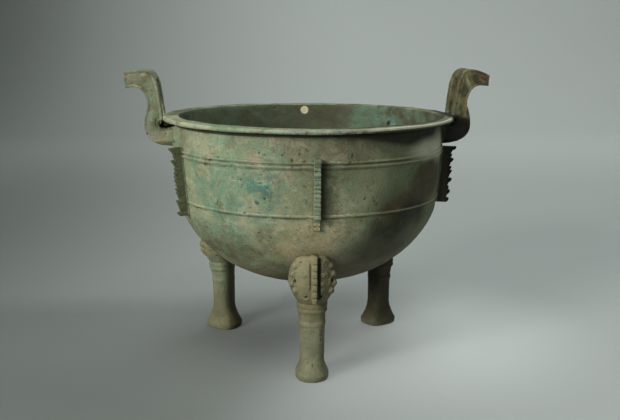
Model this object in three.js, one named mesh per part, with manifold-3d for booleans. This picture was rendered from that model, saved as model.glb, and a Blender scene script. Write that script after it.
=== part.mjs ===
import * as THREE from 'three';
import { mergeVertices } from 'three/addons/utils/BufferGeometryUtils.js';
import Module from 'manifold-3d';

// A round bronze ding: a deep bowl with a flat everted lip, two upright handles that
// curl outwards, six notched flanges and three hoofed legs with an animal mask at the hip.
// Millimetres, +Z up. The origin is on the ground in the middle; the handles stand on X,
// and one leg points to -Y.

// Bowl
const undersideHeight = 90.7;
const bowlHeight = 205.2;
const bellyRadius = 160;
const bellyRise = 93.8;
const bellySideCurve = 2.53;
const bellyBottomCurve = 1.365;
const shoulderFlare = 6.6;
const shoulderDrop = 38;
const neckInset = 1.6;
const lipReach = 15;
const lipThickness = 4.8;
const lipEdgeBevel = 1;
const wall = 4.6;

// Raised string lines round the bowl
const stringWidth = 2.8;
const stringRelief = 1.3;
const upperStringDrop = 36.6;
const stringPairGap = 5;
const lowerStringDrop = 96.5;

// Flanges
const flangeThickness = 7.5;
const flangeDepth = 12;
const flangeTopDrop = 31.4;
const flangeHeight = 82;
const flangeToothPitch = 9.1;
const flangeNotch = 2.2;
const flangeUnevenness = 0.9;
const unevenStep = 2.4;
const crestShare = 0.55;
const notchSlopeShare = 0.1;
const topToothReach = 3.8;
const bottomHookReach = 1.4;
const brokenFlangeLoss = 13.7;
const brokenFlangeDrop = 4.8;
const wornFlangeEnd = 9;
const wornFlangeDepth = 3;
const rightFlangeShift = 17.5;
const leftFlangeShift = 7;

// Handles
const handleWidth = 48;
const handlePost = 14;
const handleThickness = 15;
const handleRise = 56;
const handleCurlReach = 27;
const rightTipDrop = 7;
const leftTipDrop = 1.5;
const handleTipHeight = 19.5;
const handleRootThickness = 20;
const handleRootBulge = 5;
const rootGap = 7.5;
const rootSkirtReach = 8;
const rootSlope = 3;
const rootCorner = 2;
const handleGap = 1;
const handleLean = 3;
const bendHeight = 12;
const throatHeight = 28;
const throatReach = 16;
const tipBevel = 1;
const crownBack = 8;
const crownDepth = 12;
const slotGap = 1.5;
const slotRootGap = 2;
const slotShoulder = 6;
const slotBelowTip = 14;
const slotCrown = 10;

// Legs
const legCount = 3;
const legInset = 36;
const legShift = -4.5;
const footHalfWidth = 19.6;
const footHalfDepth = 23.6;
const footPadHeight = 7;
const footPadStep = 1.2;
const hoofHeight = 31;
const pasternShare = 0.4;
const pasternStep = 4;
const shankHalfWidth = 14.6;
const shankHalfDepth = 13.4;
const ankleRingDrop = 27;
const hipBandRise = 3.3;
const hipBandDepth = 11;
const hipBandHalfWidth = 17.8;
const hipBandOut = 18.5;
const hipBandEdge = 2;
const hipNeck = 1.8;
const ringRelief = 1.1;
const ringHalfWidth = 3;
const frontSquareness = 0.88;
const backSquareness = 0.55;

// Animal mask at the hip of each leg. A level is its share of the mask's height, its share of the
// half width, and how far it stands out from the mask's face.
const maskHeight = 57;
const maskLevels = [
  [0.12, 0.77, -4],
  [0.25, 0.9, -1.5],
  [0.4, 1, 0],
  [0.6, 0.94, 0],
  [0.82, 0.84, 0.6],
  [0.95, 0.75, -1],
  [1, 0.66, -5],
];
const maskHalfWidth = 28;
const maskOut = 27;
const ridgeThickness = 7;
const ridgeRelief = 6.5;
const ridgeNotches = 5;
const ridgeNotchDepth = 1.7;
const ridgeRootShare = 0.55;
const ridgeCrestShare = 0.72;
const eyeSpacing = 10.4;
const eye = { radius: 4.8, level: 0.66, sink: 1.8, scale: [0.8, 1, 0.9] };
const cheek = { radius: 3.6, level: 0.47, sink: 1.4, scale: [0.8, 1.1, 0.9] };
const nostril = { radius: 4.2, level: 0.27, sink: 3.2, scale: [0.9, 1.2, 0.9] };
const hornLobes = 3;
const hornLobe = { radius: 6.4, level: 0.45, inset: 3.4, sink: 10, scale: [1.7, 0.7, 0.8] };
const hornStep = 0.19;
const hornTaper = 0.09;

// Facets
const bowlSegments = 48;
const bottomSteps = 9;
const legSegments = 14;
const handleSteps = 4;
const ballSides = 8;
const ballRings = 4;

// Heights and radii that follow from the sizes above
const rimHeight = undersideHeight + bowlHeight;
const bellyHeight = undersideHeight + bellyRise;
const shoulderHeight = rimHeight - shoulderDrop;
const lipUnderside = rimHeight - lipThickness;
const shoulderRadius = bellyRadius + shoulderFlare;
const neckRadius = shoulderRadius - neckInset;
const lipRadius = neckRadius + lipReach;
const legCircleRadius = bellyRadius - legInset;
const hipBandHeight = undersideHeight + hipBandRise;
const ankleRingHeight = hipBandHeight - ankleRingDrop;
const maskTop = hipBandHeight + maskHeight;
const maskFace = legCircleRadius + maskOut;
const wallMiddle = wall / 2;

const wasm = await Module();
wasm.setup();

function toSolid(geometry) {
  const bare = geometry.clone();
  bare.deleteAttribute('normal');
  bare.deleteAttribute('uv');
  const welded = mergeVertices(bare, 1e-4);
  return new wasm.Manifold(new wasm.Mesh({
    numProp: 3,
    vertProperties: new Float32Array(welded.attributes.position.array),
    triVerts: new Uint32Array(welded.index.array),
  }));
}

function toGeometry(solid) {
  const { vertProperties, triVerts } = solid.getMesh();
  const geometry = new THREE.BufferGeometry();
  geometry.setAttribute('position', new THREE.BufferAttribute(new Float32Array(vertProperties), 3));
  geometry.setIndex(new THREE.BufferAttribute(new Uint32Array(triVerts), 1));
  const faceted = geometry.toNonIndexed();
  faceted.computeVertexNormals();
  return faceted;
}

const point = (x, y) => new THREE.Vector2(x, y);

// A ring's section is drawn as (radius, height) and turned about Z
function turned(profile) {
  const geometry = new THREE.LatheGeometry(profile, bowlSegments);
  geometry.rotateX(Math.PI / 2);
  return toSolid(geometry);
}

// An outline drawn as (distance along X, height) becomes a plate, centred on Y
function plate(outline, thickness) {
  const geometry = new THREE.ExtrudeGeometry(new THREE.Shape(outline), {
    depth: thickness,
    bevelEnabled: false,
  });
  geometry.rotateX(Math.PI / 2);
  geometry.translate(0, thickness / 2, 0);
  return toSolid(geometry);
}

function ball(radius, scale, place) {
  const geometry = new THREE.SphereGeometry(radius, ballSides, ballRings);
  geometry.scale(...scale);
  geometry.translate(...place);
  return toSolid(geometry);
}

// The bowl's radius at a height, measured so far inside its outer face
function bowlRadiusAt(height, inset = 0) {
  if (height < bellyHeight) {
    const drop = Math.min(1, (bellyHeight - height) / (bellyRise - inset));
    const share = 1 - Math.pow(drop, bellyBottomCurve);
    return (bellyRadius - inset) * Math.pow(share, 1 / bellySideCurve);
  }
  if (height < shoulderHeight) {
    const share = (height - bellyHeight) / (shoulderHeight - bellyHeight);
    return THREE.MathUtils.lerp(bellyRadius, shoulderRadius, share) - inset;
  }
  const share = Math.min(1, (height - shoulderHeight) / (lipUnderside - shoulderHeight));
  return THREE.MathUtils.lerp(shoulderRadius, neckRadius, share) - inset;
}

// The rounded bottom, from the axis out to the belly
function bottomCurve(inset, steps) {
  const points = [];
  for (let i = 0; i <= steps; i++) {
    const turn = (i / steps) * (Math.PI / 2);
    const radius = (bellyRadius - inset) * Math.pow(Math.sin(turn), 2 / bellySideCurve);
    const drop = (bellyRise - inset) * Math.pow(Math.max(0, Math.cos(turn)), 2 / bellyBottomCurve);
    points.push(point(i === 0 ? 0 : radius, bellyHeight - (i === steps ? 0 : drop)));
  }
  return points;
}

function stringLine(height) {
  const foot = stringWidth / 2;
  const crest = stringWidth / 5;
  return [
    point(bowlRadiusAt(height - foot), height - foot),
    point(bowlRadiusAt(height - crest) + stringRelief, height - crest),
    point(bowlRadiusAt(height + crest) + stringRelief, height + crest),
    point(bowlRadiusAt(height + foot), height + foot),
  ];
}

function makeBowl() {
  const upperString = rimHeight - upperStringDrop;
  const outside = [
    ...bottomCurve(0, bottomSteps),
    ...stringLine(rimHeight - lowerStringDrop),
    ...stringLine(upperString - stringPairGap),
    ...stringLine(upperString),
    point(neckRadius, lipUnderside),
    point(lipRadius - lipEdgeBevel, lipUnderside),
    point(lipRadius, lipUnderside + lipEdgeBevel),
    point(lipRadius, rimHeight - lipEdgeBevel),
    point(lipRadius - lipEdgeBevel, rimHeight),
  ];
  const inside = [
    point(neckRadius - wall, rimHeight),
    point(bowlRadiusAt(shoulderHeight, wall), shoulderHeight),
    ...bottomCurve(wall, bottomSteps - 2).reverse(),
  ];
  return turned([...outside, ...inside]);
}

// All that lies within the middle of the wall, to trim what is joined to the bowl
function makeBowlCore() {
  const top = rimHeight + handleRise * 2;
  return turned([
    ...bottomCurve(wallMiddle, bottomSteps),
    point(bowlRadiusAt(shoulderHeight, wallMiddle), shoulderHeight),
    point(neckRadius - wallMiddle, top),
    point(0, top),
  ]);
}

// Flange with an uneven toothed edge
function makeFlange(loss, worn, drop = 0) {
  const top = rimHeight - flangeTopDrop - drop;
  const bottom = top - flangeHeight + loss;
  const teeth = Math.round((top - bottom) / flangeToothPitch);
  const pitch = (top - bottom) / teeth;
  const outline = [bottom, top].map((height) => point(bowlRadiusAt(height, wallMiddle), height));
  for (let i = 0; i < teeth; i++) {
    const height = top - i * pitch;
    let reach = flangeDepth + flangeUnevenness * Math.sin(unevenStep * i + 1);
    if (i === 0) reach += topToothReach;
    if (i === teeth - 1 && !worn) reach += bottomHookReach;
    if (worn && height - pitch < bottom + wornFlangeEnd) reach = wornFlangeDepth + flangeNotch;
    const crestEnd = height - pitch * crestShare;
    outline.push(point(bowlRadiusAt(height) + reach, height));
    outline.push(point(bowlRadiusAt(crestEnd) + reach, crestEnd));
    if (i < teeth - 1) {
      const notchTop = crestEnd - pitch * notchSlopeShare;
      const notchEnd = height - pitch * (1 - notchSlopeShare);
      outline.push(point(bowlRadiusAt(notchTop) + reach - flangeNotch, notchTop));
      outline.push(point(bowlRadiusAt(notchEnd) + reach - flangeNotch, notchEnd));
    } else {
      outline.push(point(bowlRadiusAt(bottom) + reach - flangeNotch / 2, bottom));
    }
  }
  return plate(outline, flangeThickness);
}

function makeFlanges() {
  const between = 180 / legCount;
  const flanges = [];
  for (let i = 0; i < legCount; i++) {
    const overLeg = -90 + i * 2 * between;
    flanges.push(makeFlange(0, i === 0).rotate([0, 0, overLeg]));
  }
  // the two that face the front stand nearer the handles, and the right one has lost its end
  const broken = makeFlange(brokenFlangeLoss, false, brokenFlangeDrop);
  flanges.push(broken.rotate([0, 0, -90 + between + rightFlangeShift]));
  flanges.push(makeFlange(0, false).rotate([0, 0, 90]));
  flanges.push(makeFlange(0, false).rotate([0, 0, -90 - between - leftFlangeShift]));
  return flanges;
}

// Handle: an upright loop, bent out of the neck and curled outwards at its top
function makeHandle(tipDrop) {
  const inner = lipRadius + handleGap;
  const outer = inner + handleThickness;
  const innerFace = inner - handleLean + handleGap;
  const mouth = outer + throatReach;
  const post = inner + handleLean;
  const rootTop = lipUnderside - rootGap;
  const rootBottom = rootTop - handleRootThickness;
  const bulge = outer + handleRootBulge;
  const throat = rimHeight + throatHeight;
  const top = rimHeight + handleRise;
  const tip = outer + handleCurlReach;
  const tipBottom = top - handleTipHeight;
  const back = neckRadius - wallMiddle;
  const shape = new THREE.Shape();
  shape.moveTo(back, rootTop);
  shape.lineTo(back, rootBottom - rootSlope);
  shape.lineTo(neckRadius + rootSkirtReach, rootBottom - rootCorner);
  shape.quadraticCurveTo(bulge - rootCorner, rootBottom, bulge, rootTop);
  shape.quadraticCurveTo(bulge, rimHeight, outer, rimHeight + bendHeight);
  shape.bezierCurveTo(outer - tipBevel, throat, (outer + mouth) / 2, tipBottom, mouth, tipBottom);
  shape.lineTo(tip - tipBevel, tipBottom - tipBevel);
  shape.lineTo(tip, top - tipDrop);
  shape.quadraticCurveTo(outer + crownDepth, top, outer + handleLean, top);
  shape.bezierCurveTo(inner + crownBack, top, post, top - crownDepth, inner + handleGap, throat);
  shape.lineTo(innerFace, rimHeight + handleLean);
  shape.lineTo(innerFace, lipUnderside + lipEdgeBevel);
  shape.lineTo(inner + rootCorner, lipUnderside - lipEdgeBevel);
  shape.quadraticCurveTo(inner + rootCorner, rootTop, inner - slotShoulder, rootTop);
  const body = plate(shape.getPoints(handleSteps), handleWidth);
  return body.subtract(makeHandleSlot(inner, outer, bulge, rootTop, top));
}

// The loop's opening, closed above by a face square to the curl
function makeHandleSlot(inner, outer, bulge, rootTop, top) {
  const front = bulge + slotShoulder;
  const bottom = rootTop + slotRootGap;
  const tipBottom = top - handleTipHeight;
  const foot = lipRadius + slotGap;
  const outline = [
    point(foot, bottom),
    point(front, bottom),
    point(front, tipBottom - slotBelowTip),
    point(outer + crownBack / 2, tipBottom - crownBack),
    point(inner + crownBack / 2, top - slotCrown),
    point(inner - crownBack, top - slotRootGap),
    point(inner - crownBack, rimHeight),
    point(foot, rimHeight),
  ];
  return plate(outline, handleWidth - 2 * handlePost);
}

// One level of a leg: half width, reach outwards and reach inwards from the leg circle
function legSection({ height, side, out, back }) {
  const points = [];
  for (let i = 0; i < legSegments; i++) {
    const turn = (i / legSegments) * 2 * Math.PI;
    const along = Math.cos(turn);
    const across = Math.sin(turn);
    const front = out * Math.pow(Math.max(0, along), frontSquareness);
    const rear = back * Math.pow(Math.max(0, -along), backSquareness);
    const aside = side * Math.sign(across) * Math.pow(Math.abs(across), frontSquareness);
    points.push([legCircleRadius + front - rear, aside, height]);
  }
  return points;
}

function loft(levels) {
  const sections = levels.map(legSection);
  const middle = (section) => [legCircleRadius, 0, section[0][2]];
  const last = sections.length - 1;
  const triangles = [];
  for (let i = 0; i < legSegments; i++) {
    const next = (i + 1) % legSegments;
    triangles.push(middle(sections[0]), sections[0][next], sections[0][i]);
    triangles.push(middle(sections[last]), sections[last][i], sections[last][next]);
    for (let k = 0; k < last; k++) {
      const [low, high] = [sections[k], sections[k + 1]];
      triangles.push(low[i], low[next], high[next], low[i], high[next], high[i]);
    }
  }
  const geometry = new THREE.BufferGeometry();
  geometry.setAttribute('position', new THREE.Float32BufferAttribute(triangles.flat(), 3));
  return toSolid(geometry);
}

function makeLeg() {
  const shank = (height, grow = 0) => ({
    height,
    side: shankHalfWidth + grow,
    out: shankHalfDepth + grow,
    back: shankHalfDepth,
  });
  const band = (height, grow) => ({
    height,
    side: hipBandHalfWidth + grow,
    out: hipBandOut + grow,
    back: shankHalfDepth,
  });
  const foot = (height, shrink) => ({
    height,
    side: footHalfWidth - shrink,
    out: footHalfDepth - shrink,
    back: footHalfDepth - shrink,
  });
  const mask = ([share, width, relief]) => ({
    height: hipBandHeight + share * maskHeight,
    side: width * maskHalfWidth,
    out: maskOut + relief,
    back: shankHalfDepth,
  });
  const pastern = footPadHeight + footPadStep + (hoofHeight - footPadHeight) * pasternShare;
  const bandFoot = hipBandHeight - hipBandDepth;
  return loft([
    foot(0, footPadStep / 2),
    foot(footPadHeight, 0),
    foot(footPadHeight + footPadStep, footPadStep),
    foot(pastern, footPadStep + pasternStep),
    shank(hoofHeight),
    shank(ankleRingHeight - ringHalfWidth, ringRelief / 2),
    shank(ankleRingHeight, ringRelief * 1.5),
    shank(ankleRingHeight + ringHalfWidth, ringRelief / 2),
    band(bandFoot - hipBandEdge, -hipNeck),
    band(bandFoot + hipBandEdge / 2, 0),
    band(hipBandHeight - hipBandEdge, 0),
    band(hipBandHeight - hipBandEdge / 2, -ringRelief),
    band(hipBandHeight + hipBandEdge / 4, ringRelief / 2),
    ...maskLevels.map(mask),
  ]);
}

// The notched ridge down the middle of the mask
function makeRidge() {
  const bottom = hipBandHeight + ringHalfWidth;
  const top = maskTop + ridgeNotchDepth;
  const pitch = (top - bottom) / (ridgeNotches + 1);
  const reachAt = (height) => {
    const share = (height - bottom) / (top - bottom);
    return maskFace + ridgeRelief * THREE.MathUtils.lerp(ridgeRootShare, 1, share);
  };
  const back = maskFace - hornLobe.sink;
  const outline = [point(back, top), point(back, bottom)];
  for (let i = 0; i <= ridgeNotches; i++) {
    const height = bottom + i * pitch;
    const crestEnd = height + pitch * ridgeCrestShare;
    outline.push(point(reachAt(height), height));
    outline.push(point(reachAt(crestEnd), crestEnd));
    if (i < ridgeNotches) {
      outline.push(point(reachAt(crestEnd) - ridgeNotchDepth, crestEnd + pitch * notchSlopeShare));
      outline.push(point(reachAt(crestEnd) - ridgeNotchDepth, height + pitch * (1 - notchSlopeShare)));
    } else {
      outline.push(point(reachAt(top), top));
    }
  }
  return plate(outline, ridgeThickness);
}

// One side of the face: eye, cheek and nostril beside the ridge, and the lobed horn down the edge
function makeMaskSide(side) {
  const heightAt = (share) => hipBandHeight + maskHeight * share;
  const parts = [eye, cheek, nostril].map(({ radius, level, sink, scale }) =>
    ball(radius, scale, [maskFace - sink, side * eyeSpacing, heightAt(level)]));
  for (let i = 0; i < hornLobes; i++) {
    const across = maskHalfWidth * (1 - hornTaper * i) - hornLobe.inset;
    const height = heightAt(hornLobe.level + hornStep * i);
    parts.push(ball(hornLobe.radius, hornLobe.scale, [maskFace - hornLobe.sink, side * across, height]));
  }
  return parts;
}

function makeLegs(core) {
  const leg = wasm.Manifold.union([makeLeg(), makeRidge(), ...makeMaskSide(1), ...makeMaskSide(-1)]);
  const legs = [];
  for (let i = 0; i < legCount; i++) {
    const turnedLeg = leg.rotate([0, 0, -90 + (i * 360) / legCount]);
    legs.push(turnedLeg.translate([legShift, 0, 0]).subtract(core));
  }
  return legs;
}

function makeDing() {
  const core = makeBowlCore();
  const whole = wasm.Manifold.union([
    makeBowl(),
    ...makeFlanges(),
    makeHandle(rightTipDrop).subtract(core),
    makeHandle(leftTipDrop).rotate([0, 0, 180]).subtract(core),
    ...makeLegs(core),
  ]);
  return toGeometry(whole);
}

const bronze = new THREE.MeshStandardMaterial({ color: 0x79806a, roughness: 0.78, metalness: 0.35 });

const vessel = new THREE.Group();
const ding = new THREE.Mesh(makeDing(), bronze);
ding.name = 'ding';
vessel.add(ding);

export default vessel;
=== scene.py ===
import math

import bpy
import numpy as np
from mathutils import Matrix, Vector, noise
from mathutils.geometry import interpolate_bezier


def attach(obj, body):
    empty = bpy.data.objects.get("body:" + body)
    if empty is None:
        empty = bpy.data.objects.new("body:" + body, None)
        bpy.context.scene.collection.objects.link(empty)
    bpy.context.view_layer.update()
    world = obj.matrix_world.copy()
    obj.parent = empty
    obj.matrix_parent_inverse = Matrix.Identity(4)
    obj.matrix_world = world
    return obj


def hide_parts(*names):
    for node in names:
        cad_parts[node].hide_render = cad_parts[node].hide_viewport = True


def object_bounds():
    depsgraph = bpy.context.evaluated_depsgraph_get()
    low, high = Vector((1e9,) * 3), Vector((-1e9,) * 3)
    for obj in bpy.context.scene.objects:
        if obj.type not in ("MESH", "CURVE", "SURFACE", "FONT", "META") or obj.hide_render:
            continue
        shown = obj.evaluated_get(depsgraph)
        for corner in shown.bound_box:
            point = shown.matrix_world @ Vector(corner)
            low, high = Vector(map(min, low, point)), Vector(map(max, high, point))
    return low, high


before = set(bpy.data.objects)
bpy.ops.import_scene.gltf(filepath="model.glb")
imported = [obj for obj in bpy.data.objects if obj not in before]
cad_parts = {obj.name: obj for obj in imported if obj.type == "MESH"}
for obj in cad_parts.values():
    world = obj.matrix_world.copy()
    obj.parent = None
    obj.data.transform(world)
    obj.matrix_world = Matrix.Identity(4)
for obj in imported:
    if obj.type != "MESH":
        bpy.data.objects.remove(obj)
cadLow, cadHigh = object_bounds()
mm = 0.001


def pick(obj):  # makes obj the only selected and active object
    bpy.ops.object.select_all(action="DESELECT")
    obj.select_set(True)
    bpy.context.view_layer.objects.active = obj
    return obj


def editAll(obj, kind):
    pick(obj)
    bpy.ops.object.mode_set(mode="EDIT")
    bpy.ops.mesh.select_mode(type=kind)
    bpy.ops.mesh.select_all(action="SELECT")


def leaveEdit():  # all faces turned outwards on the way out
    bpy.ops.mesh.select_all(action="SELECT")
    bpy.ops.mesh.normals_make_consistent(inside=False)
    bpy.ops.object.mode_set(mode="OBJECT")


def meshObject(name, points, edges, faces):
    mesh = bpy.data.meshes.new(name)
    mesh.from_pydata(points, edges, faces)
    obj = bpy.data.objects.new(name, mesh)
    bpy.context.collection.objects.link(obj)
    return obj


def settle(obj):  # place, turn and size go into the mesh
    pick(obj)
    bpy.ops.object.transform_apply(location=True, rotation=True, scale=True)
    return obj


def modify(obj, kind, **settings):
    pick(obj)
    modifier = obj.modifiers.new(kind.title(), kind)
    for name, value in settings.items():
        setattr(modifier, name, value)
    bpy.ops.object.modifier_apply(modifier=modifier.name)
    return obj


def joinAll(objs, name):
    bpy.ops.object.select_all(action="DESELECT")
    for o in objs:
        o.select_set(True)
    bpy.context.view_layer.objects.active = objs[0]
    bpy.ops.object.join()
    objs[0].name = name
    return objs[0]


def combine(obj, other, how):  # boolean, then the other is gone
    pick(obj)
    modifier = obj.modifiers.new(how.title(), "BOOLEAN")
    modifier.operation, modifier.object, modifier.solver = how, other, "MANIFOLD"
    before = len(obj.data.polygons)
    bpy.ops.object.modifier_apply(modifier=modifier.name)
    if len(obj.data.polygons) == before:
        for left in list(obj.modifiers):
            obj.modifiers.remove(left)
        modify(obj, "BOOLEAN", operation=how, object=other, solver="EXACT")
    bpy.data.objects.remove(other)
    return obj


def copyTurned(obj, degrees, shift=(0, 0, 0)):
    new = obj.copy()
    new.data = obj.data.copy()
    bpy.context.collection.objects.link(new)
    new.rotation_euler = (0, 0, math.radians(degrees))
    new.location = Vector(shift)
    return settle(new)


def plateFrom(outline, thickness, name):  # outline of (x, z) in mm, thick along Y
    half = thickness / 2
    points = [(x * mm, -half * mm, z * mm) for x, z in outline]
    obj = meshObject(name, points, [], [range(len(outline))])
    editAll(obj, "FACE")
    bpy.ops.mesh.extrude_region_move(TRANSFORM_OT_translate={"value": (0, thickness * mm, 0)})
    leaveEdit()
    return obj


def blockAt(place, size, turn=(0, 0, 0)):  # place and size in mm
    bpy.ops.mesh.primitive_cube_add(size=1, location=[c * mm for c in place])
    block = bpy.context.object
    block.scale = [c * mm for c in size]
    block.rotation_euler = turn
    return settle(block)


def ballAt(place, size, turn=(0, 0, 0), segments=24, rings=14):  # size is three half widths in mm
    bpy.ops.mesh.primitive_uv_sphere_add(segments=segments, ring_count=rings, radius=mm,
                                         location=[c * mm for c in place], rotation=turn)
    ball = bpy.context.object
    ball.scale = size
    return settle(ball)


def melt(obj, voxel):  # turns joined parts into one surface
    modify(obj, "REMESH", mode="VOXEL", voxel_size=voxel * mm)


def soften(obj, rounds):
    modify(obj, "SMOOTH", factor=0.5, iterations=rounds)


def thin(obj, triangles):  # brings a surface of four-sided faces down to about this many triangles
    modify(obj, "DECIMATE", ratio=triangles / (len(obj.data.polygons) * 2))


bowl = {
    "underside": 90.7, "rim": 295.9, "bellyRadius": 160, "bellyRise": 93.8,
    "sideCurve": 2.53, "bottomCurve": 1.365, "shoulder": 257.9, "shoulderRadius": 166.6,
    "neckRadius": 165, "lipReach": 15, "lipThickness": 4.8, "wall": 4.6,
    "strings": (259.3, 254.3, 199.4), "stringWidth": 3.0, "stringRelief": 1.3,
    "stringRound": 0.7, "stringHalf": 0.62, "segments": 264,
    "bottomRows": 44, "wallRow": 2.4, "fineRow": 0.62, "innerBottomRows": 26, "innerRow": 5,
}
bellyHeight = bowl["underside"] + bowl["bellyRise"]
lipUnder = bowl["rim"] - bowl["lipThickness"]
lipRadius = bowl["neckRadius"] + bowl["lipReach"]


def bowlRadius(height, inset=0):
    if height < bellyHeight:
        drop = min(1, (bellyHeight - height) / (bowl["bellyRise"] - inset))
        return (bowl["bellyRadius"] - inset) * (1 - drop ** bowl["bottomCurve"]) ** (1 / bowl["sideCurve"])
    if height < bowl["shoulder"]:
        share = (height - bellyHeight) / (bowl["shoulder"] - bellyHeight)
        return bowl["bellyRadius"] + share * (bowl["shoulderRadius"] - bowl["bellyRadius"]) - inset
    share = min(1, (height - bowl["shoulder"]) / (lipUnder - bowl["shoulder"]))
    return bowl["shoulderRadius"] + share * (bowl["neckRadius"] - bowl["shoulderRadius"]) - inset


def bottomCurve(inset, steps):
    points = []
    for i in range(steps + 1):
        turn = i / steps * math.pi / 2
        radius = (bowl["bellyRadius"] - inset) * math.sin(turn) ** (2 / bowl["sideCurve"]) if i else 0
        drop = (bowl["bellyRise"] - inset) * max(0, math.cos(turn)) ** (2 / bowl["bottomCurve"])
        points.append((radius, bellyHeight - drop))
    return points


def spunSolid(profile, segments, name):
    rows = [(r * mm, 0, z * mm) for r, z in profile]
    obj = meshObject(name, rows, [(i, i + 1) for i in range(len(rows) - 1)], [])
    editAll(obj, "VERT")
    bpy.ops.mesh.spin(steps=segments, angle=2 * math.pi, center=(0, 0, 0), axis=(0, 0, 1))
    bpy.ops.mesh.select_all(action="SELECT")
    bpy.ops.mesh.remove_doubles(threshold=0.02 * mm)
    leaveEdit()
    return obj


def makeBowl():
    outside = bottomCurve(0, bowl["bottomRows"])
    height = bellyHeight
    while height < lipUnder - bowl["wallRow"]:  # up the wall, with finer rows over each string line
        near = min(abs(height - s) for s in bowl["strings"])
        height += bowl["fineRow"] if near < bowl["stringWidth"] else bowl["wallRow"]
        near = min(abs(height - s) for s in bowl["strings"])
        swell = max(0, 1 - (near / (bowl["stringWidth"] * bowl["stringHalf"])) ** 2)
        outside.append((bowlRadius(height) + bowl["stringRelief"] * swell ** bowl["stringRound"], height))
    top, neck = bowl["rim"], bowl["neckRadius"]
    under = [(neck, lipUnder), (neck + 5, lipUnder), (neck + 10, lipUnder), (lipRadius - 1.4, lipUnder),
             (lipRadius - 0.4, lipUnder + 0.5), (lipRadius, lipUnder + 1.6)]
    above = [(lipRadius, top - 1.6), (lipRadius - 0.4, top - 0.5), (lipRadius - 1.4, top),
             (neck + 10, top), (neck + 5, top), (neck, top)]
    inner = bowl["neckRadius"] - bowl["wall"]
    inside = [(inner + 1, top), (inner + 0.3, top - 0.4), (inner, top - 1.4)]
    height = top - 6
    while height > bellyHeight + 3:
        inside.append((bowlRadius(height, bowl["wall"]), height))
        height -= bowl["innerRow"]
    inside += bottomCurve(bowl["wall"], bowl["innerBottomRows"])[::-1]
    return spunSolid(outside + under + above + inside, bowl["segments"], "ding_vessel")


def makeCore():  # all that lies within the middle of the wall, to trim what is joined to the bowl
    middle, rows, segments, top = bowl["wall"] / 2, 30, 96, 420
    profile = bottomCurve(middle, rows) + [(bowlRadius(bowl["shoulder"], middle), bowl["shoulder"]),
                                           (bowl["neckRadius"] - middle, top), (0, top)]
    return spunSolid(profile, segments, "core")


handle = {
    "width": 48, "post": 14, "thickness": 15, "rise": 56, "curlReach": 27, "tipHeight": 19.5,
    "rootThickness": 20, "rootBulge": 5, "rootGap": 7.5, "rightTipDrop": 7, "leftTipDrop": 1.5,
    "throatRise": 28, "borderWidth": 3.2, "grooveWidth": 1.5, "grooveDepth": 0.5,
    "voxel": 0.75, "softRounds": 3, "triangles": 12500,
}


def curveTo(points, *controls):  # a quadratic or cubic curve on from the last point
    start = Vector((*points[-1], 0))
    ends = [Vector((*c, 0)) for c in controls]
    if len(ends) == 2:
        ends = [start + (ends[0] - start) * 2 / 3, ends[1] + (ends[0] - ends[1]) * 2 / 3, ends[1]]
    points += [(p.x, p.y) for p in interpolate_bezier(start, ends[0], ends[1], ends[2], 12)[1:]]


def makeHandle(tipDrop):
    inner = lipRadius + 1
    outer = inner + handle["thickness"]
    rootTop = lipUnder - handle["rootGap"]
    rootBottom = rootTop - handle["rootThickness"]
    bulge = outer + handle["rootBulge"]
    top = bowl["rim"] + handle["rise"]
    tip = outer + handle["curlReach"]
    tipBottom = top - handle["tipHeight"]
    back = bowl["neckRadius"] - bowl["wall"] / 2
    throat = bowl["rim"] + handle["throatRise"]
    line = [(back, rootTop), (back, rootBottom - 3), (bowl["neckRadius"] + 8, rootBottom - 2)]
    curveTo(line, (bulge - 2, rootBottom), (bulge, rootTop))
    curveTo(line, (bulge, bowl["rim"]), (outer, bowl["rim"] + 12))
    curveTo(line, (outer - 1, throat), (outer + 8, tipBottom), (outer + 16, tipBottom))
    line += [(tip - 1, tipBottom - 1), (tip, top - tipDrop)]
    curveTo(line, (outer + 12, top), (outer + 3, top))
    curveTo(line, (inner + 8, top), (inner + 3, top - 12), (inner + 1, throat))
    line += [(inner - 2, bowl["rim"] + 3), (inner - 2, lipUnder + 1), (inner + 2, lipUnder)]
    curveTo(line, (inner + 4, rootTop - 2), (inner - 7, rootTop - 2))
    obj = plateFrom(line, handle["width"], "handle")
    foot = lipRadius + 1.5
    slot = plateFrom([(foot, rootTop + 2), (bulge + 6, rootTop + 2), (bulge + 6, tipBottom - 14),
                      (outer + 4, tipBottom - 8), (inner + 4, top - 10), (inner - 8, top - 2),
                      (inner - 8, bowl["rim"]), (foot, bowl["rim"])],
                     handle["width"] - 2 * handle["post"], "slot")
    combine(obj, slot, "DIFFERENCE")
    melt(obj, handle["voxel"])
    soften(obj, handle["softRounds"])
    sinkBorder(obj, line)
    thin(obj, handle["triangles"])
    return obj


def sinkBorder(obj, line):  # a border line runs round each broad side
    starts = np.array(line)
    steps = np.roll(starts, -1, 0) - starts
    spans = (steps ** 2).sum(1)
    half = handle["width"] / 2
    for v in obj.data.vertices:
        if abs(v.co.y) / mm < half - 1.2:
            continue
        away = np.array((v.co.x / mm, v.co.z / mm)) - starts
        share = np.clip((away * steps).sum(1) / spans, 0, 1)
        gap = np.sqrt(((away - steps * share[:, None]) ** 2).sum(1)).min()
        off = abs(gap - handle["borderWidth"]) / handle["grooveWidth"]
        v.co.y -= math.copysign(handle["grooveDepth"] * max(0, 1 - off * off) * mm, v.co.y)


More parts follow.
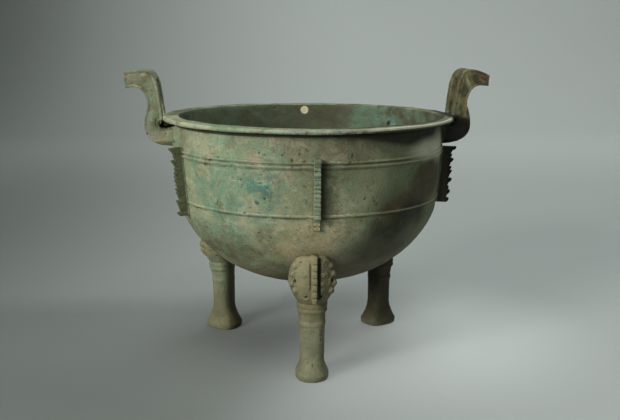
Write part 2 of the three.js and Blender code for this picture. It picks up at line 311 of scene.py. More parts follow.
flange = {
    "thickness": 7.5, "depth": 12, "top": 264.5, "height": 82, "pitch": 4.9, "notch": 1.5,
    "topReach": 3.8, "hookReach": 1.2, "spikes": (0.19, 0.4, 0.6, 0.78), "spikeReach": 1.7,
    "unevenReach": 0.9, "unevenPace": 2.4, "mostReach": 16, "wornHeight": 11, "wornReach": 4.6,
    "brokenLoss": 12, "brokenDrop": 4.8, "brokenSwell": 2.2, "rightShift": 17.5, "leftShift": 7,
    "bar": (6.4, 0.9, 1.7), "barTilt": 0.25, "voxel": 0.62, "softRounds": 2, "triangles": 5200,
}


def makeFlange(loss, worn, uneven, drop, swell):
    top = flange["top"] - drop
    bottom = top - flange["height"] + loss
    teeth = round((top - bottom) / flange["pitch"])
    pitch = (top - bottom) / teeth
    middle = bowl["wall"] / 2
    line = [(bowlRadius(bottom, middle), bottom), (bowlRadius(top, middle), top)]
    bars = []
    for i in range(teeth):
        height = top - i * pitch
        share = i / teeth
        reach = flange["depth"] + flange["unevenReach"] * math.sin(flange["unevenPace"] * i + uneven)
        reach += flange["topReach"] if i == 0 else 0
        reach += flange["hookReach"] if i == teeth - 1 and not worn else 0
        if any(abs(share - s) < 0.5 / teeth for s in flange["spikes"]):
            reach += flange["spikeReach"]
        if worn and height - pitch < bottom + flange["wornHeight"]:
            reach = flange["wornReach"]
        reach = min(reach, flange["mostReach"]) + swell
        crest = height - pitch * 0.58
        for z, cut in ((height - 0.3, 0), (crest, 0.3), (crest - pitch * 0.12, flange["notch"]),
                       (height - pitch * 0.92, flange["notch"])):
            line.append((bowlRadius(z) + reach - cut, z))
        if i % 2 and reach > 8:
            bars.append((bowlRadius(crest) + reach * 0.52, crest - pitch * 0.2))
    obj = plateFrom(line, flange["thickness"], "flange")
    half = flange["thickness"] / 2
    cuts = [blockAt((x, side * half, z), flange["bar"], (0, flange["barTilt"] * side, 0))
            for x, z in bars for side in (-1, 1)]  # short carved bars on both faces
    combine(obj, joinAll(cuts, "cuts"), "DIFFERENCE")
    melt(obj, flange["voxel"])
    soften(obj, flange["softRounds"])
    thin(obj, flange["triangles"])
    return obj


leg = {
    "circle": 124, "shift": -4.5, "maskOut": 27, "wornLess": 0.9, "sides": 64,
    "ridge": 5.4, "ridgeRelief": 6.5, "ridgeAside": 0.8, "ridgeBottom": 97, "ridgeTop": 152.6,
    "ridgeNotches": 6, "notchDepth": 1.8, "rightGroove": (4.2, 4.6), "leftGroove": (3, 1.6),
    "voxel": 0.72, "softRounds": 4, "triangles": 15500,
}
legLevels = [  # height, half width, reach outwards, reach inwards
    (0.0, 18.4, 22.4, 22.4), (0.9, 19.2, 23.1, 23.1), (6.4, 19.6, 23.6, 23.6), (7.6, 18.9, 22.8, 22.8),
    (8.4, 18.3, 22.3, 22.3), (17, 14.9, 18.6, 18.6), (24, 14.6, 15.2, 15.2), (31, 14.6, 13.4, 13.4),
    (50, 14.8, 13.5, 13.4), (63.5, 15.1, 13.9, 13.4), (65, 15.8, 14.8, 13.4), (68.5, 15.8, 14.8, 13.4),
    (70, 15.2, 14, 13.4), (80.5, 15.9, 16.4, 13.4), (82, 17.6, 18.3, 13.4), (85.4, 17.9, 18.7, 13.4),
    (86.4, 16.9, 17.6, 13.4), (87.4, 17.9, 18.6, 13.4), (91.4, 18, 18.7, 13.4), (92.6, 16.4, 17.1, 13.4),
    (94, 17.8, 18.9, 13.4), (97, 19.4, 20.6, 13.4), (100.8, 21.6, 23, 13.4), (108.3, 25.2, 25.5, 13.4),
    (116.8, 28, 27, 13.4), (128.2, 26.3, 27, 13.4), (140.7, 23.5, 27.2, 13.4), (148.2, 21, 25.6, 13.4),
    (150, 19.2, 23.8, 13.4), (151, 17.5, 21, 13.4),
]


def legLevel(height):
    rows = np.array(legLevels)
    return [float(np.interp(height, rows[:, 0], rows[:, k])) for k in (1, 2, 3)]


def faceReach(height, across):  # how far the leg's front stands out at a place across it
    side, out, _ = legLevel(height)
    return leg["circle"] + out * max(0.02, 1 - min(1, abs(across) / side) ** 2.27) ** 0.44


def makeShaft():
    heights = sorted({r[0] for r in legLevels} | {float(h) for h in np.arange(10, 151, 2.5)})
    verts, faces = [], []
    n = leg["sides"]
    for height in heights:
        side, out, back = legLevel(height)
        for i in range(n):
            turn = i / n * 2 * math.pi
            c, s = math.cos(turn), math.sin(turn)
            reach = out * max(0, c) ** 0.88 - back * max(0, -c) ** 0.55
            across = side * math.copysign(abs(s) ** 0.88, s)
            verts.append(((leg["circle"] + reach) * mm, across * mm, height * mm))
    for k in range(len(heights) - 1):
        for i in range(n):
            a, b = k * n + i, k * n + (i + 1) % n
            faces.append((a, b, b + n, a + n))
    faces.append(list(range(n))[::-1])
    faces.append([len(verts) - n + i for i in range(n)])
    return meshObject("leg", verts, [], faces)


def onFace(across, height, sink):  # place and turn of a form that lies on the mask's face
    step = 1.0
    slope = (faceReach(height, across + step) - faceReach(height, across - step)) / (2 * step)
    return (faceReach(height, across) - sink, across, height), math.atan(-slope)


def ballOn(across, height, sink, size):
    place, turn = onFace(across, height, sink)
    return ballAt(place, size, (0, 0, turn))


def ringOn(across, height, sink, radius, tube, stretch=1.0):
    place, turn = onFace(across, height, sink)
    bpy.ops.mesh.primitive_torus_add(major_segments=28, minor_segments=10, major_radius=radius * mm,
                                     minor_radius=tube * mm, location=[c * mm for c in place])
    ring = bpy.context.object
    ring.rotation_euler = (0, math.pi / 2, turn)
    ring.scale = (stretch, 1, 1)
    return settle(ring)


def barOn(points, sink, tube, side):  # a raised bar that follows points (across, height) over the face
    balls = []
    for (a, h), (b, k) in zip(points, points[1:]):
        for i in range(6):
            share = i / 5
            balls.append(ballOn(side * (a + (b - a) * share), h + (k - h) * share, sink, (tube, tube, tube)))
    return balls


# form, across, height and sink, then a ball's size or a ring's radius, tube and stretch
maskForms = [
    (ballOn, 9.6, 129.5, 2.4, (4.4, 4.6, 3.9)),  # eye
    (ringOn, 9.6, 129.5, 0.9, 6, 1.3, 0.84),  # its rim
    (ballOn, 8.9, 119.6, 2.6, (4.2, 3.8, 3.2)),  # cheeks
    (ballOn, 8.3, 111, 2.4, (4, 3.8, 3.2)),
    (ringOn, 8.4, 103.6, 1.4, 3.4, 1.8),  # nostril
    (ringOn, 20.8, 122, 2.2, 4.6, 2.3, 1.15),  # ear
    (ringOn, 13.4, 141.8, 1.4, 4.8, 2.2, 0.9),  # curled horn
    (ballOn, 13.4, 141.8, 1.6, (3, 2.2, 2.2)),
]
maskBars = [  # points (across, height), sink, tube: the brow and the mouth
    (((4.8, 136), (10.5, 137.6), (17.5, 134.2), (20.8, 129.4)), 0.9, 1.7),
    (((4.6, 100.4), (11, 101.8), (17.5, 106.8)), 0.9, 1.6),
]
maskLobes = [(17.6, 139.6), (20.2, 129.4), (21.4, 118.6), (18.4, 110.2)]  # along the edge
lobeSink, lobeSize = 3.6, (6.6, 4.4, 5)
maskHoles = [  # across, height, sink, size: ear, pupil, nostril and the hole behind the ear
    (20.8, 122, 0, (5, 2.2, 2.5)), (9.6, 129.5, -1.8, (1.2, 1.2, 1.2)),
    (8.4, 103.6, 0, (3.2, 1.9, 1.9)), (25.5, 124, 0, (6, 1.6, 1.5)),
]


def makeMaskSide(side):
    parts = [form(side * across, height, sink, *size) for form, across, height, sink, *size in maskForms]
    for points, sink, tube in maskBars:
        parts += barOn(points, sink, tube, side)
    parts += [ballOn(side * across, height, lobeSink, lobeSize) for across, height in maskLobes]
    for part in parts:  # one half is worn flatter
        part.location.x = -leg["wornLess"] * mm if side < 0 else 0
        settle(part)
    return parts


def makeRidge():
    bottom, top, notches = leg["ridgeBottom"], leg["ridgeTop"], leg["ridgeNotches"]
    pitch = (top - bottom) / (notches + 1)
    face = leg["circle"] + leg["maskOut"]
    line = [(face - 9, top), (face - 9, bottom)]
    for i in range(notches + 1):
        low = bottom + i * pitch
        crest = low + pitch * 0.7
        for z, cut in ((low, 0), (crest, 0), (crest + pitch * 0.08, leg["notchDepth"]),
                       (low + pitch * 0.92, leg["notchDepth"])):
            reach = face + leg["ridgeRelief"] * (0.55 + 0.45 * (z - bottom) / (top - bottom))
            line.append((reach - (cut if i < notches else 0), min(z, top)))
    ridge = plateFrom(line, leg["ridge"], "ridge")
    ridge.location.y = leg["ridgeAside"] * mm
    return settle(ridge)


def makeLeg():
    parts = [makeShaft(), makeRidge()] + makeMaskSide(1) + makeMaskSide(-1)
    obj = joinAll(parts, "leg")
    melt(obj, leg["voxel"])
    cuts = []
    for side, (wide, deep) in ((-1, leg["leftGroove"]), (1, leg["rightGroove"])):
        for across, height, sink, size in maskHoles:
            cuts.append(ballOn(side * across, height, sink, size))
        aside = side * (2.9 + wide / 2) + leg["ridgeAside"]  # the groove beside the ridge
        cuts.append(blockAt((leg["circle"] + 32 - deep, aside, 125), (10, wide, 50)))
    for cut in cuts:
        combine(obj, cut, "DIFFERENCE")
    soften(obj, leg["softRounds"])
    thin(obj, leg["triangles"])
    return obj


relief = {  # low swellings, crust and pits over the cast surface, and the rim's lift at the left
    "broad": 0.55, "broadScale": 22, "crust": 0.32, "crustScale": 110, "fine": 0.16, "fineScale": 330,
    "leftLift": 1.6, "liftFrom": 250, "liftOver": 50,
}


def vertexRows(mesh, what):
    values = np.empty(len(mesh.vertices) * 3, np.float32)
    mesh.vertices.foreach_get(what, values)
    return values.reshape(-1, 3)


def corrode(obj):
    mesh = obj.data
    places, normals = vertexRows(mesh, "co"), vertexRows(mesh, "normal")
    push = np.empty(len(places), np.float32)
    for i, p in enumerate(places):
        v = Vector(p)
        broad = noise.noise(v * relief["broadScale"] + Vector((4, 1, 7)))
        crust = noise.noise(v * relief["crustScale"] + Vector((1, 9, 3)))
        fine = noise.noise(v * relief["fineScale"])
        push[i] = relief["broad"] * broad + relief["crust"] * crust + relief["fine"] * fine
    onBowl = np.hypot(places[:, 0], places[:, 1]) < (lipRadius + 0.5) * mm
    share = np.clip((places[:, 2] / mm - relief["liftFrom"]) / relief["liftOver"], 0, 1)
    places += normals * push[:, None] * mm
    leftness = np.clip(-places[:, 0] / (lipRadius * mm), 0, 1)
    places[:, 2] += relief["leftLift"] * mm * share * leftness * onBowl
    places[:] = np.clip(places, list(cadLow), list(cadHigh))
    mesh.vertices.foreach_set("co", places.ravel())
    mesh.update()


def markCavity(obj):  # 1 on the bowl's inner face, 0 elsewhere, for the finish to read
    middle = bowl["wall"] / 2
    values = []
    for v in obj.data.vertices:
        height, radius = v.co.z / mm, math.hypot(v.co.x, v.co.y) / mm
        within = bowl["underside"] + middle < height < bowl["rim"] - 0.6
        values.append(1.0 if within and radius < bowlRadius(height, middle) else 0.0)
    obj.data.attributes.new("cavity", "FLOAT", "POINT").data.foreach_set("value", values)


crustLumps = [  # place and half widths in mm
    ((-175, -9, 286.5), (7.5, 9, 5)), ((-177, 4, 286), (6, 9, 4.6)), ((-171, 12, 286), (6, 7, 4.8)),
]


def addCrust(vessel):  # hard earth left in the gap over the left handle's root
    for place, size in crustLumps:
        combine(vessel, ballAt(place, size, segments=32, rings=20), "UNION")


flangeTurns = [  # loss, worn low, unevenness, drop, swell, then its turn about the axis
    (0, True, 1, 0, 0, -90.8), (0, False, 2, 0, 0, 30), (0, False, 3, 0, 0, 150), (0, False, 4, 0, 0, 90),
    (flange["brokenLoss"], False, 1.4, flange["brokenDrop"], flange["brokenSwell"], -30 + flange["rightShift"]),
    (0, False, 0.4, 0, 0, 210 - flange["leftShift"]),
]


def makeVessel():
    vessel = makeBowl()
    print("bowl", len(vessel.data.polygons))
    core = makeCore()
    models = [makeHandle(handle["rightTipDrop"]), makeHandle(handle["leftTipDrop"])]
    pieces = [copyTurned(model, turn) for model, turn in zip(models, (0, 180))]
    print("handles")
    for *form, turn in flangeTurns:
        models.append(makeFlange(*form))
        pieces.append(copyTurned(models[-1], turn))
    print("flanges")
    models.append(makeLeg())
    pieces += [copyTurned(models[-1], turn, (leg["shift"] * mm, 0, 0)) for turn in (-90, 30, 150)]
    print("legs", len(models[-1].data.polygons))
    for piece in pieces:
        combine(piece, copyTurned(core, 0), "DIFFERENCE")
        combine(vessel, piece, "UNION")
    for model in models + [core]:
        bpy.data.objects.remove(model)
    addCrust(vessel)
    markCavity(vessel)
    corrode(vessel)
    pick(vessel)
    bpy.ops.object.shade_smooth_by_angle(angle=math.radians(42))
    return vessel


ding = makeVessel()
ding.name = "ding_vessel"
print("vessel", sum(len(p.vertices) - 2 for p in ding.data.polygons), "triangles")


class Wire:  # a socket that takes part in sums and products
    def __init__(self, sheet, socket):
        self.sheet, self.socket = sheet, socket

    def math(self, operation, a, b):
        return self.sheet.node("ShaderNodeMath", {"operation": operation}, {0: a, 1: b})

    def __add__(self, other):
        return self.math("ADD", self, other)

    def __sub__(self, other):
        return self.math("SUBTRACT", self, other)

    def __rsub__(self, other):
        return self.math("SUBTRACT", other, self)

    def __mul__(self, other):
        return self.math("MULTIPLY", self, other)

    __rmul__ = __mul__


class Sheet:  # one material and its nodes
    def __init__(self, name):
        self.material = bpy.data.materials.new(name)
        self.material.use_nodes = True
        self.nodes = self.material.node_tree.nodes
        self.links = self.material.node_tree.links
        self.shader = self.nodes["Principled BSDF"]

    def node(self, kind, settings=None, inputs=None, out=0):
        made = self.nodes.new(kind)
        for name, value in (settings or {}).items():
            setattr(made, name, value)
        for name, value in (inputs or {}).items():
            self.feed(made.inputs[name], value)
        return Wire(self, made.outputs[out])

    def feed(self, socket, value):
        if isinstance(value, Wire):
            self.links.new(value.socket, socket)
        elif isinstance(value, tuple) and len(value) == 3 and socket.type == "RGBA":
            socket.default_value = (*value, 1)
        else:
            socket.default_value = value

    def vector(self, operation, inputs, out=0):
        return self.node("ShaderNodeVectorMath", {"operation": operation}, inputs, out)

    def place(self):
        return self.node("ShaderNodeTexCoord", out=3)

    def split(self, where):  # x, y and z of a place
        axes = self.node("ShaderNodeSeparateXYZ", None, {0: where})
        return [Wire(self, socket) for socket in axes.socket.node.outputs]

    def noise(self, where, scale, detail=4, rough=0.55, distort=0.0):
        return self.node("ShaderNodeTexNoise", None, {"Vector": where, "Scale": scale, "Detail": detail,
                                                      "Roughness": rough, "Distortion": distort})

    def ramp(self, value, low, high, bottom=0.0, top=1.0):  # smooth step between two values
        return self.node("ShaderNodeMapRange", {"interpolation_type": "SMOOTHSTEP"},
                         {"Value": value, "From Min": low, "From Max": high, "To Min": bottom, "To Max": top})

    def blend(self, base, over, share):
        made = self.nodes.new("ShaderNodeMix")
        made.data_type = "RGBA"
        for socket, value in ((0, share), (6, base), (7, over)):
            self.feed(made.inputs[socket], value)
        return Wire(self, made.outputs[2])

    def near(self, where, centre, radius, edge, size=(1, 1, 1)):  # 1 near a place in mm, 0 beyond it
        moved = self.vector("SUBTRACT", {0: where, 1: tuple(c * mm for c in centre)})
        scaled = self.vector("DIVIDE", {0: moved, 1: tuple(radius * mm * k for k in size)})
        return self.ramp(self.vector("LENGTH", {0: scaled}, 1), 1 + edge, 1 - edge)

    def finish(self, **inputs):
        for name, value in inputs.items():
            self.feed(self.shader.inputs[name.replace("_", " ")], value)
        return self.material


patina = {
    "bronze": (0.11, 0.1, 0.05), "crust": (0.235, 0.262, 0.16), "pale": (0.37, 0.385, 0.265),
    "verdigris": (0.13, 0.235, 0.155), "azurite": (0.045, 0.15, 0.135), "earth": (0.36, 0.32, 0.19),
    "rose": (0.33, 0.235, 0.19), "brown": (0.062, 0.046, 0.02), "moss": (0.085, 0.13, 0.045),
    "dark": (0.018, 0.017, 0.009), "rust": (0.13, 0.055, 0.03), "disc": (0.62, 0.56, 0.38),
    "shadowBlack": (0.004, 0.004, 0.002),
    "olive": (0.122, 0.142, 0.08), "lowOlive": (0.14, 0.14, 0.085), "darkOlive": (0.075, 0.095, 0.05),
    "neckDust": (0.2, 0.19, 0.125), "neckEdgeHighlight": (0.5, 0.5, 0.37), "neckHighlight": (0.72, 0.72, 0.56),
    "rimHighlight": (0.55, 0.55, 0.43),
    "legGreen": (0.2, 0.22, 0.14), "legEarth": (0.27, 0.235, 0.13), "maskEarth": (0.135, 0.118, 0.06),
    "frontHoof": (0.14, 0.145, 0.09), "leftHoof": (0.09, 0.085, 0.045), "rightLegShade": (0.02, 0.026, 0.014),
    "leftHandle": (0.15, 0.165, 0.125), "rightHandle": (0.12, 0.1, 0.042), "rootMoss": (0.035, 0.05, 0.018),
    "sideFlange": (0.075, 0.085, 0.04), "leftFlange": (0.045, 0.05, 0.022),
    "rightFlangeShade": (0.04, 0.035, 0.02), "frontFlange": (0.23, 0.31, 0.235),
    "innerBrown": (0.075, 0.07, 0.045), "innerGreen": (0.125, 0.165, 0.105),
    "innerShade": (0.06, 0.058, 0.032), "pitBlue": (0.2, 0.34, 0.36),
    "roughness": (0.58, 0.9), "metal": (0.02, 0.36), "shine": 0.35, "bump": 0.75, "bumpDepth": 0.0035,
    "grainLight": (0.78, 1.2),
}


class Patina(Sheet):  # its colour is built up in layers, each painted over the last
    def __init__(self, name):
        super().__init__(name)
        at = self.at = self.place()
        warp = self.node("ShaderNodeTexNoise", None, {"Vector": at, "Scale": 14.0, "Detail": 3.0}, 1)
        push = self.vector("SUBTRACT", {0: warp, 1: (0.5, 0.5, 0.5)})
        push = self.vector("SCALE", {0: push, "Scale": 0.05})
        loose = self.loose = self.vector("ADD", {0: at, 1: push})  # a place with a wavering edge
        self.x, self.y, self.z = self.split(at)
        self.axisGap = self.vector("LENGTH", {0: self.vector("MULTIPLY", {0: at, 1: (1, 1, 0)})}, 1)
        self.cavity = self.node("ShaderNodeAttribute", {"attribute_name": "cavity"}, None, 2)
        self.cloud = self.noise(at, 11.0, 6, 0.62, 0.6)
        self.mottle = self.noise(at, 42.0, 7, 0.66, 0.4)
        self.grit = self.noise(at, 190.0, 5, 0.7)
        self.grain = self.noise(at, 700.0, 3, 0.6)
        self.blotch = self.noise(loose, 88.0, 5, 0.6, 0.5)
        cells = self.node("ShaderNodeTexVoronoi", {"feature": "F1"},
                          {"Vector": loose, "Scale": 150.0, "Randomness": 1.0})
        self.pits = self.ramp(cells, 0.3, 0.16) * self.ramp(self.noise(at, 36.0, 4, 0.6), 0.5, 0.64)
        self.colour = patina["bronze"]

    def paint(self, colour, share):
        over = colour if isinstance(colour, Wire) else patina[colour]
        self.colour = self.blend(self.colour, over, share)

    def spot(self, colour, share, centre, radius, edge, size=(1, 1, 1)):
        self.paint(colour, share * self.near(self.loose, centre, radius, edge, size))

    def sharpSpot(self, colour, share, centre, radius, edge, size=(1, 1, 1)):
        self.paint(colour, share * self.near(self.at, centre, radius, edge, size))

    def band(self, centre, half, edge):  # 1 within a belt of heights in mm, 0 beyond it
        low = self.ramp(self.z, (centre - half - edge) * mm, (centre - half) * mm)
        return low * self.ramp(self.z, (centre + half + edge) * mm, (centre + half) * mm)


def paintGround(m):
    m.paint("crust", m.ramp(m.cloud + 0.55 * m.mottle, 0.62, 0.9))
    m.paint("verdigris", 0.55 * m.ramp(m.mottle + 0.4 * m.grit, 0.66, 0.9))


def paintLeftWall(m):  # pale crust with verdigris, and azurite in its middle
    left = m.near(m.loose, (-95, -120, 235), 82, 0.5)
    m.paint("crust", 0.8 * left)
    m.paint("verdigris", 0.85 * left * m.ramp(m.noise(m.loose, 24.0, 5, 0.6), 0.5, 0.62))
    m.paint("pale", 0.6 * left * m.ramp(m.noise(m.loose, 33.0, 6, 0.7, 0.5), 0.54, 0.7))
    m.paint("rose", 0.55 * left * m.ramp(m.noise(m.loose, 37.0, 5, 0.6, 1.0), 0.6, 0.72))
    m.spot("pale", 0.45, (-122, -108, 277), 34, 0.5, (1, 1, 0.5))
    m.spot("verdigris", 0.6 * m.ramp(m.mottle, 0.38, 0.6), (-92, -128, 186), 42, 0.5)
    m.spot("verdigris", 0.55, (-93, -138, 247), 22, 0.6, (1, 1, 1.3))
    m.spot("azurite", 0.85 * m.ramp(m.noise(m.loose, 60.0, 6, 0.75), 0.42, 0.6), (-60, -150, 221), 30, 0.45)


def paintFrontAndRightWall(m):  # earth over the lower middle, brown and olive to the right, and dark brown patches below the lower string at the right, deepened as painted shade
    m.spot("crust", 0.6, (-18, -158, 215), 34, 0.5)
    m.spot("earth", 0.95 * m.ramp(m.cloud + 0.5 * m.mottle, 0.5, 0.78), (-18, -150, 172), 44, 0.5,
           (1.15, 1, 0.8))
    right = m.ramp(m.x, 0.022, 0.085) * m.ramp(m.y, 0.03, -0.03) * m.ramp(m.z, 0.1, 0.13)
    m.paint("olive", 0.62 * right)
    m.paint("moss", 0.42 * right * m.ramp(m.mottle, 0.38, 0.58))
    m.spot("neckDust", 0.65 * m.ramp(m.mottle, 0.3, 0.55), (20, -165, 277), 60, 0.5, (1.4, 1, 0.42))
    m.spot("crust", 0.65, (52, -152, 225), 30, 0.5)
    m.paint("lowOlive", 0.6 * right * m.ramp(m.z, 0.19, 0.175))
    m.spot("darkOlive", 0.6, (84, -140, 215), 27, 0.6, (1, 1, 0.9))
    broken = 0.92 * m.ramp(m.grit + m.mottle, 0.6, 0.95)
    m.spot("brown", broken, (134, -92, 226), 36, 0.25, (1, 1, 0.9))
    m.spot("brown", broken, (100, -126, 205), 24, 0.25, (1.2, 1, 0.7))
    # dark brown patches below the lower string at the right, deepened as painted shade
    m.spot("dark", 0.85, (112, -112, 188), 26, 0.5, (1.25, 1, 0.6))
    m.spot("dark", 0.75, (84, -134, 177), 24, 0.5, (1.25, 1, 0.6))
    m.spot("dark", 0.55, (75, -120, 150), 40, 0.5, (1.25, 1, 0.6))


def paintUnderside(m):
    # darker brown towards the bottom, partly patina and partly painted shade
    m.spot("brown", 0.4 * m.ramp(m.mottle, 0.42, 0.62), (0, -20, 95), 100, 0.35, (1, 1, 0.5))
    low = m.ramp(m.z + 0.012 * m.mottle, 0.136, 0.108) * m.ramp(m.axisGap, 0.132, 0.118)
    m.paint("brown", 0.62 * low * m.ramp(m.grit, 0.3, 0.55))


def paintLegs(m):  # even dusty grey-green, darker where the foot has stood
    dust = m.blend(patina["legGreen"], patina["legEarth"], m.ramp(m.mottle, 0.35, 0.65))
    m.paint(dust, 0.75 * m.ramp(m.z + 0.3 * m.axisGap, 0.178, 0.166))
    sole = m.ramp(m.z + 0.012 * m.mottle, 0.014, 0.007)
    m.paint("dark", 0.5 * sole * m.ramp(m.grit, 0.45, 0.65))
    m.spot("frontHoof", 0.65, (-4.5, -145, 8), 36, 0.4)


def paintHandles(m):  # rosy earth on the left root, moss and rust on the right handle
    m.spot("rose", 0.6 * m.ramp(m.mottle, 0.4, 0.6), (-188, -24, 276), 14, 0.5)
    m.spot("moss", 0.7, (-196, -24, 288), 9, 0.5)
    m.paint("leftHandle", 0.6 * m.ramp(m.x, -0.178, -0.186) * m.ramp(m.mottle, 0.35, 0.6))
    right = m.ramp(m.x, 0.178, 0.184)
    m.paint("rightHandle", 0.8 * right * m.ramp(m.cloud + 0.4 * m.mottle, 0.45, 0.7))
    tall = m.vector("MULTIPLY", {0: m.loose, 1: (1, 1, 0.22)})
    m.paint("dark", 0.75 * right * m.ramp(m.noise(tall, 110.0, 4, 0.6), 0.46, 0.6))
    # pale streaks on the right handle: painted highlights
    m.paint("pale", 0.3 * right * m.ramp(m.noise(tall, 70.0, 4, 0.6), 0.56, 0.64))
    tip = m.ramp(m.x, 0.2, 0.212) * m.ramp(m.z, 0.32, 0.325)
    m.paint("rust", 0.6 * tip * m.ramp(m.grit, 0.5, 0.6))
    m.paint("dark", 0.85 * tip * m.ramp(m.mottle, 0.52, 0.6))
    m.sharpSpot("rootMoss", 0.9 * m.ramp(m.grit, 0.3, 0.5), (-186.5, -24, 289), 6, 0.6)


def paintBlotches(m):  # about a centimetre across, then small pits and specks of soil everywhere
    outside = m.ramp(m.z, 0.155, 0.17) * (1 - m.cavity)
    m.paint("verdigris", 0.42 * outside * m.ramp(m.blotch, 0.53, 0.62) * m.ramp(m.x, 0.09, 0.02))
    outside = outside * m.ramp(m.x, 0.06, 0.01)
    m.paint("pale", 0.36 * outside * m.ramp(m.blotch, 0.46, 0.38))
    m.paint("bronze", 0.42 * outside * m.ramp(m.noise(m.loose, 61.0, 5, 0.6, 0.8), 0.57, 0.66))
    spots = m.ramp(m.noise(m.loose, 52.0, 4, 0.6, 0.3), 0.6, 0.67) * m.ramp(m.x, 0.06, -0.03)
    m.paint("rose", 0.5 * spots * m.ramp(m.z, 0.15, 0.18) * (1 - m.cavity))
    m.paint("brown", 0.75 * m.pits)
    m.paint("bronze", 0.5 * m.ramp(m.noise(m.at, 95.0, 6, 0.75, 0.8), 0.56, 0.66) * m.ramp(m.cloud, 0.3, 0.55))
    m.paint("brown", 0.4 * m.ramp(m.noise(m.at, 230.0, 4, 0.7), 0.56, 0.68))
    m.paint("pale", 0.4 * m.ramp(m.grit, 0.62, 0.76) * m.ramp(m.cloud, 0.4, 0.6))


def paintEdges(m):  # raised edges painted pale as a highlight, hollows painted dark as shade
    edge = m.node("ShaderNodeNewGeometry", out=7)
    m.paint("dark", 0.55 * m.ramp(edge, 0.485, 0.43))
    m.paint("pale", 0.4 * m.ramp(edge, 0.53, 0.6) * m.ramp(m.mottle, 0.4, 0.6))


def paintShadeAndDirt(m):  # painted shade under the lip and under the strings, and dirt darkened further as painted shade in the gap over each handle's root
    lip = m.band(288.6, 1.6, 1.2) * m.ramp(m.axisGap, 0.1625, 0.1635) * m.ramp(m.axisGap, 0.1815, 0.1795)
    m.paint("dark", 0.8 * lip * (1 - m.cavity))
    for height in bowl["strings"]:
        line = m.band(height - 2.3, 0.5, 0.9) * m.ramp(m.noise(m.at, 60.0, 3), 0.35, 0.6)
        m.paint("brown", 0.6 * line * m.ramp(m.axisGap, 0.1585, 0.1595) * (1 - m.cavity))
    side = m.node("ShaderNodeMath", {"operation": "ABSOLUTE"}, {0: m.x})
    gap = m.ramp(side, 0.166, 0.17) * m.ramp(side, 0.184, 0.180) * m.band(286.4, 4.4, 1.4)
    m.paint("dark", 0.85 * gap * m.ramp(m.grit, 0.3, 0.5))


def paintNeck(m):  # painted shadow under the lip at the right, and painted highlights on the neck below it
    under = m.ramp(m.z + 0.017 * m.ramp(m.x, 0.02, 0.15), 0.2815, 0.2885) * m.ramp(m.axisGap, 0.17, 0.168)
    under = under * m.ramp(m.y, 0.03, -0.05)
    m.paint("dark", 0.88 * under * m.ramp(m.x, -0.03, 0.06) * m.ramp(m.mottle, 0.2, 0.4))
    m.sharpSpot("neckEdgeHighlight", 0.8, (153, -72, 266), 20, 0.7, (1, 1, 0.8))
    m.sharpSpot("neckHighlight", 0.8, (134, -96, 265), 36, 0.6, (1, 1, 0.3))


def paintRim(m):  # the lip's edge: painted shade below and a painted highlight above, and painted highlights on the strings' crests
    rim = m.ramp(m.axisGap, 0.1762, 0.1768) * m.ramp(m.axisGap, 0.1825, 0.1808)
    rim = rim * m.ramp(m.z, 0.288, 0.289) * m.ramp(m.z, 0.2985, 0.2975)
    m.paint("dark", 0.8 * rim * m.ramp(m.z, 0.2934, 0.2924) * m.ramp(m.x, -0.12, 0.02))
    upper = rim * m.ramp(m.z, 0.2932, 0.294)
    m.paint("pale", 0.6 * upper * m.ramp(m.mottle, 0.35, 0.6))
    m.paint("rimHighlight", 0.7 * upper * m.ramp(m.x, 0.03, 0.1))
    for height in bowl["strings"]:
        crest = m.band(height, 0.5, 0.5) * m.ramp(m.axisGap, 0.1603, 0.161) * m.ramp(m.x, 0.02, 0.1)
        m.paint("pale", 0.5 * crest * (1 - m.cavity))


def paintRightLeg(m):  # browner, and darker still as painted shade, under the bowl's side above it
    m.spot("brown", 0.9, (98, 62, 62), 66, 0.4)
    m.spot("brown", 0.8, (40, -60, 98), 84, 0.4)
    m.spot("rightLegShade", 0.6, (98, 62, 62), 66, 0.4)


def paintFrontMask(m):
    m.sharpSpot("maskEarth", 0.55, (-4.5, -152, 122), 38, 0.3)


def paintSideFlanges(m):  # the side flanges darker, the broken one at the right painted near black as shade, darkest at its root, and a painted shadow on the right handle's root
    beyond = m.axisGap - (0.09 * m.z + 0.1434)
    wing = m.ramp(beyond, 0.0017, 0.0027) * m.ramp(m.z, 0.268, 0.264) * m.ramp(m.z, 0.17, 0.176)
    wing = wing * m.ramp(m.y, -0.14, -0.12)
    right = m.ramp(m.x, 0.1, 0.12)
    m.paint("leftFlange", 0.75 * wing * m.ramp(m.x, -0.1, -0.12) * m.ramp(m.grit, 0.7, 0.5))
    m.paint("sideFlange", 0.85 * wing)
    # the right flange: painted shade, near black towards its root
    m.paint("rightFlangeShade", 0.85 * wing * right)
    m.paint("dark", 0.9 * wing * m.ramp(beyond, 0.01, 0.006) * right)
    # painted shadow on the right handle's root
    root = m.ramp(m.x, 0.164, 0.172) * m.ramp(m.z + 0.3 * m.x + 0.003 * m.mottle, 0.356, 0.35)
    m.paint("shadowBlack", 0.94 * root)


def paintFrontFlange(m):  # green on its face, and a painted shadow as a dark strip at its right
    strip = m.ramp(m.x, 0.0008, 0.002) * m.ramp(m.x + 0.0008 * m.mottle, 0.0125, 0.0045)
    strip = strip * m.ramp(m.y, -0.145, -0.15) * m.ramp(m.z, 0.186, 0.2) * m.ramp(m.z, 0.263, 0.257)
    m.paint("dark", 0.9 * strip)
    face = m.ramp(m.y, -0.1685, -0.1705) * m.ramp(m.z, 0.19, 0.205)
    m.paint("frontFlange", 0.75 * face * m.ramp(m.grit, 0.38, 0.58))


